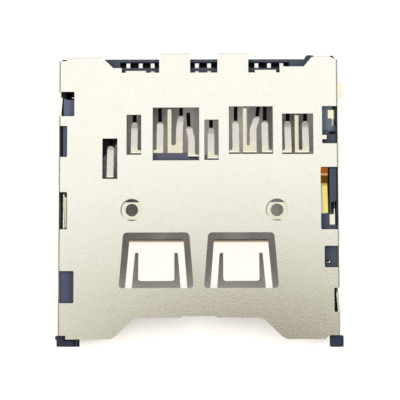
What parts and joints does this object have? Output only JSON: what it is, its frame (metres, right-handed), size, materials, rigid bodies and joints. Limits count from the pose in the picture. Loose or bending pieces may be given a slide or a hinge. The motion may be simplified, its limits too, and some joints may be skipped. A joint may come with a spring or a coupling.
{
  "type": "sd card socket",
  "caption": "Push-push surface-mount socket for a full-size memory card: metal shell over a U-shaped housing with spring contacts, card slider, heart-cam pin and write-protect switch.",
  "frame": {"origin": "on the circuit board's surface, midway across the shell, 13.24 mm behind the shell's front edge", "axes": "+X across the card, towards the write-protect switch; +Y the way the card goes in; +Z away from the board"},
  "size_m": [0.0281, 0.0286, 0.0038],
  "materials": {
    "shell_sheet": "satin",
    "housing_plastic": "matte",
    "slider_plastic": "matte",
    "contact_strip": "satin",
    "gold_strip": "satin",
    "spring_steel": "satin"
  },
  "bodies": {
    "socket": {"shell": "shell_sheet", "housing": "housing_plastic", "contact_1": "contact_strip", "contact_2": "contact_strip", "contact_3": "contact_strip", "contact_4": "contact_strip", "contact_5": "contact_strip", "contact_6": "contact_strip", "contact_7": "contact_strip", "contact_8": "contact_strip", "contact_9": "contact_strip", "detect_contact_3": "contact_strip", "detect_contact_6": "contact_strip", "protect_switch_leaf": "gold_strip", "protect_switch_terminal": "spring_steel", "coil_spring": "spring_steel"},
    "slider": {"slider": "slider_plastic", "card_lock_spring": "spring_steel"},
    "cam_pin": {"cam_pin": "spring_steel"}
  },
  "joints": [
    {"name": "slider_slide", "type": "slide", "parent": "socket", "child": "slider", "axis": [0, 1, 0], "range_m": [0, 0.0048], "stiffness_N_per_m": 120, "springref_m": -0.004, "deforming": ["coil_spring"]},
    {"name": "cam_pin_swing", "type": "hinge", "parent": "socket", "child": "cam_pin", "pos_m": [-0.01307, -0.00219, 0.0004], "axis": [1, 0, 0], "range_deg": [0, 20]}
  ]
}
